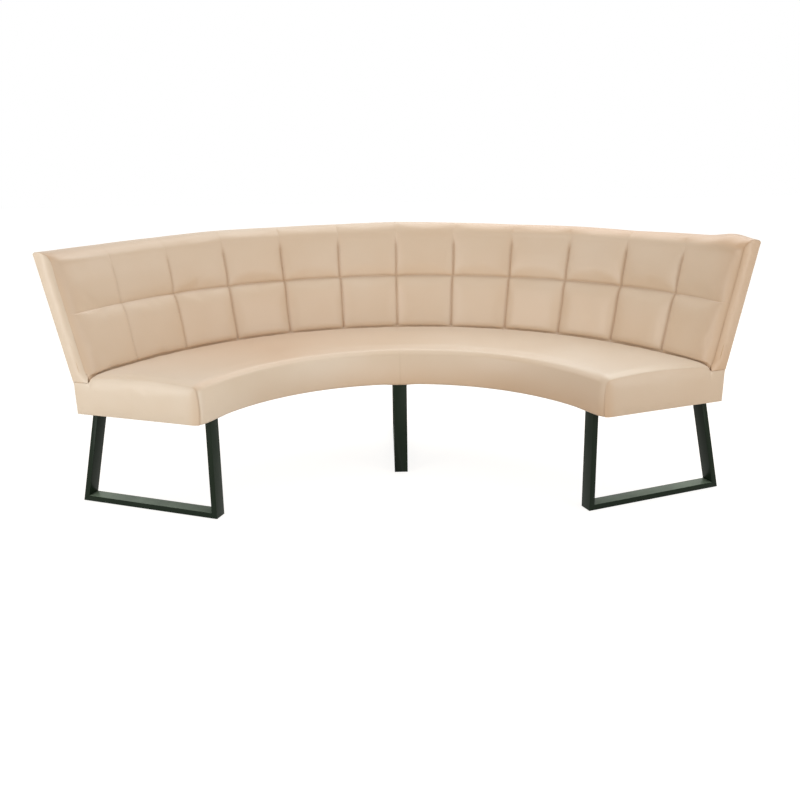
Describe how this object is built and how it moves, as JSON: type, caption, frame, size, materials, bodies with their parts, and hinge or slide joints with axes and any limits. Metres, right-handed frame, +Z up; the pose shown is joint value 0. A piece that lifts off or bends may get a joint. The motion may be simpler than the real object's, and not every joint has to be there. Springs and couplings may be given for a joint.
{
  "type": "upholstered banquette bench",
  "caption": "Curved upholstered dining bench with a reclined quilted back and a plain crowned seat on sled legs of rectangular tube.",
  "frame": {"origin": "middle of the bench's footprint on the floor, under the centre of the overall box", "axes": "+Z up, +X along the bench to the right as seen by someone facing it, -Y towards the open, concave front, +Y towards the back"},
  "size_m": [2.3634, 1.0192, 0.89],
  "materials": {
    "cover_leather": "smooth cream leather-look cover with a fine grain and a low sheen",
    "padding_foam": "cut upholstery foam",
    "dust_cloth": "thin black non-woven cloth",
    "plywood": "raw birch plywood",
    "hardboard": "raw hardboard",
    "frame_hardwood": "sawn and planed hardwood, raw",
    "leg_paint": "dark green-black powder coat, satin",
    "zinc_fasteners": "bright zinc plate",
    "glide_plastic": "moulded black plastic"
  },
  "bodies": {
    "root": {"back_bolts": "zinc_fasteners", "back_foam": "padding_foam", "back_front_cover": "cover_leather", "back_front_panel": "plywood", "back_left_end_cover": "cover_leather", "back_lower_rail": "frame_hardwood", "back_nuts": "zinc_fasteners", "back_rear_cover": "cover_leather", "back_rear_panel": "hardboard", "back_right_end_cover": "cover_leather", "back_top_rail": "frame_hardwood", "deck_screws": "zinc_fasteners", "dust_cover": "dust_cloth", "left_centre_post": "frame_hardwood", "left_end_post": "frame_hardwood", "left_inner_rib": "frame_hardwood", "left_leg_beam": "frame_hardwood", "left_leg_floor_bar": "leg_paint", "left_leg_front_upright": "leg_paint", "left_leg_glides": "glide_plastic", "left_leg_rear_upright": "leg_paint", "left_leg_top_plate": "leg_paint", "left_middle_post": "frame_hardwood", "left_outer_post": "frame_hardwood", "left_outer_rib": "frame_hardwood", "leg_bolts": "zinc_fasteners", "leg_tee_nuts": "zinc_fasteners", "middle_leg_beam": "frame_hardwood", "middle_leg_floor_bar": "leg_paint", "middle_leg_front_upright": "leg_paint", "middle_leg_glides": "glide_plastic", "middle_leg_rear_upright": "leg_paint", "middle_leg_top_plate": "leg_paint", "rear_padding": "padding_foam", "right_centre_post": "frame_hardwood", "right_end_post": "frame_hardwood", "right_inner_rib": "frame_hardwood", "right_leg_beam": "frame_hardwood", "right_leg_floor_bar": "leg_paint", "right_leg_front_upright": "leg_paint", "right_leg_glides": "glide_plastic", "right_leg_rear_upright": "leg_paint", "right_leg_top_plate": "leg_paint", "right_middle_post": "frame_hardwood", "right_outer_post": "frame_hardwood", "right_outer_rib": "frame_hardwood", "seat_cover": "cover_leather", "seat_deck_left": "plywood", "seat_deck_right": "plywood", "seat_foam": "padding_foam", "seat_front_rail": "frame_hardwood", "seat_left_end_cover": "cover_leather", "seat_left_end_rail": "frame_hardwood", "seat_rear_cover": "cover_leather", "seat_rear_panel": "hardboard", "seat_rear_rail": "frame_hardwood", "seat_right_end_cover": "cover_leather", "seat_right_end_rail": "frame_hardwood"}
  },
  "joints": []
}
